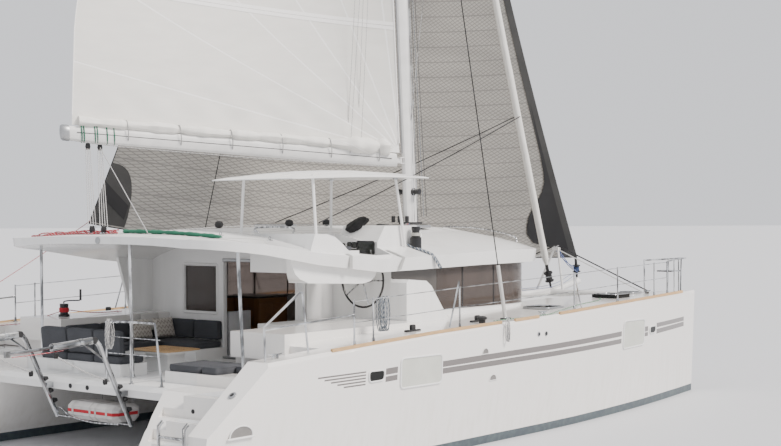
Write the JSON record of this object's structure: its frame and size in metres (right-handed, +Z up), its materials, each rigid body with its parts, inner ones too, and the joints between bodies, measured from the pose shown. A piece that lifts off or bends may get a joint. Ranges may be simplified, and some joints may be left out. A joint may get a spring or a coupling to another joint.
{
  "type": "sailing catamaran",
  "caption": "White cruising sailing catamaran afloat with her mainsail and light headsail set, cockpit, saloon and raised helm under a long roof.",
  "frame": {"origin": "amidships on the centreline at the waterline on which she floats", "axes": "+X to the bows, +Y to port, +Z up"},
  "size_m": [15.3194, 8.1766, 24.2],
  "materials": {
    "gelcoat": "glossy white glass fibre gelcoat",
    "glass": "tinted pane",
    "cushion": "dark grey outdoor fabric",
    "pillow": "light grey patterned fabric",
    "black": "black paint",
    "spar": "pale satin paint on aluminium",
    "sailcloth": "white woven sailcloth",
    "laminate": "grey sail laminate with a mesh of threads",
    "stainless": "polished stainless steel",
    "teak": "oiled teak",
    "joinery": "satin varnished veneer",
    "antifoul": "matte dark bottom paint",
    "bronze": "bare bronze",
    "engine": "grey painted casting",
    "net": "white knotless netting"
  },
  "bodies": {
    "boat": {"hull_port": "gelcoat", "hull_starboard": "gelcoat", "bridge_deck": "gelcoat", "saloon_walls": "gelcoat", "aft_bulkhead": "gelcoat", "coachroof": "gelcoat", "helm_seat": "gelcoat", "helm_console": "gelcoat", "helm_hardtop": "gelcoat", "step_pod": "gelcoat", "liferaft": "gelcoat", "saloon_glass": "glass", "bulkhead_pane": "glass", "helm_cushion": "cushion", "aft_bench_cushion": "cushion", "settee_cushion": "cushion", "settee_back": "cushion", "lounge_cushion": "cushion", "pillow": "pillow", "winch_helm": "black", "winch_port": "black", "saildrive_port": "black", "saildrive_starboard": "black", "mast": "spar", "front_beam": "spar", "furled_jib": "sailcloth", "light_sail": "laminate", "stern_rail": "stainless", "davits": "stainless", "shroud_port": "stainless", "shroud_starboard": "stainless", "side_rail_port": "stainless", "side_rail_starboard": "stainless", "roof_post_starboard": "stainless", "roof_post_centre": "stainless", "roof_post_port": "stainless", "cockpit_table": "teak", "galley": "joinery", "saloon_seat": "joinery", "keel_port": "antifoul", "keel_starboard": "antifoul", "engine_port": "engine", "engine_starboard": "engine", "net_port": "net", "net_starboard": "net"},
    "boom_and_sail": {"boom": "spar", "mainsail": "sailcloth"},
    "rudder_starboard": {"rudder_starboard": "antifoul"},
    "rudder_port": {"rudder_port": "antifoul"},
    "steering_wheel": {"steering_wheel": "black"},
    "propeller_starboard": {"propeller_starboard": "bronze"},
    "propeller_port": {"propeller_port": "bronze"},
    "door_leaf_inner": {"door_leaf_inner": "glass"},
    "door_leaf_outer": {"door_leaf_outer": "glass"},
    "engine_hatch_starboard": {"engine_hatch_starboard": "gelcoat", "hatch_cushion": "cushion"},
    "engine_hatch_port": {"engine_hatch_port": "gelcoat"},
    "fore_hatch_starboard": {"fore_hatch_starboard": "glass"},
    "fore_hatch_port": {"fore_hatch_port": "glass"},
    "boarding_ladder": {"boarding_ladder": "stainless"}
  },
  "joints": [
    {"name": "boom_swing", "type": "hinge", "parent": "boat", "child": "boom_and_sail", "pos_m": [1.4534, 0, 4.4669], "axis": [-0.0609, 0, 0.9981], "range_deg": [-4, 72]},
    {"name": "rudder_starboard_turn", "type": "hinge", "parent": "boat", "child": "rudder_starboard", "pos_m": [-6.05, -2.975, -0.4], "axis": [0, 0, 1], "range_deg": [-35, 35]},
    {"name": "rudder_port_turn", "type": "hinge", "parent": "boat", "child": "rudder_port", "pos_m": [-6.05, 2.975, -0.4], "axis": [0, 0, 1], "range_deg": [-35, 35]},
    {"name": "wheel_turn", "type": "hinge", "parent": "boat", "child": "steering_wheel", "pos_m": [-1.91, -1.96, 2.47], "axis": [1, 0, 0], "range_deg": [-360, 360]},
    {"name": "propeller_starboard_spin", "type": "hinge", "parent": "boat", "child": "propeller_starboard", "pos_m": [-5.2, -2.975, -0.93], "axis": [1, 0, 0], "continuous": true},
    {"name": "propeller_port_spin", "type": "hinge", "parent": "boat", "child": "propeller_port", "pos_m": [-5.2, 2.975, -0.93], "axis": [1, 0, 0], "continuous": true},
    {"name": "door_outer_slide", "type": "slide", "parent": "boat", "child": "door_leaf_outer", "axis": [0, -1, 0], "range_m": [0, 1.74]},
    {"name": "door_inner_slide", "type": "slide", "parent": "boat", "child": "door_leaf_inner", "axis": [0, -1, 0], "range_m": [0, 0.9]},
    {"name": "engine_hatch_starboard_lift", "type": "hinge", "parent": "boat", "child": "engine_hatch_starboard", "pos_m": [-5.31, -3.075, 1.31], "axis": [0, -1, 0], "range_deg": [0, 80]},
    {"name": "engine_hatch_port_lift", "type": "hinge", "parent": "boat", "child": "engine_hatch_port", "pos_m": [-5.31, 3.075, 1.31], "axis": [0, -1, 0], "range_deg": [0, 80]},
    {"name": "fore_hatch_starboard_lift", "type": "hinge", "parent": "boat", "child": "fore_hatch_starboard", "pos_m": [4.35, -2.81, 1.96], "axis": [0, 1, 0], "range_deg": [0, 90]},
    {"name": "fore_hatch_port_lift", "type": "hinge", "parent": "boat", "child": "fore_hatch_port", "pos_m": [4.35, 2.81, 1.96], "axis": [0, 1, 0], "range_deg": [0, 90]},
    {"name": "ladder_swing", "type": "hinge", "parent": "boat", "child": "boarding_ladder", "pos_m": [-7.012, -3.22, 0.3], "axis": [0, -1, 0], "range_deg": [0, 170]}
  ],
  "couplings": [
    {"joint": "rudder_port_turn", "follows": "rudder_starboard_turn", "ratio": 1},
    {"joint": "wheel_turn", "follows": "rudder_starboard_turn", "ratio": 10}
  ]
}
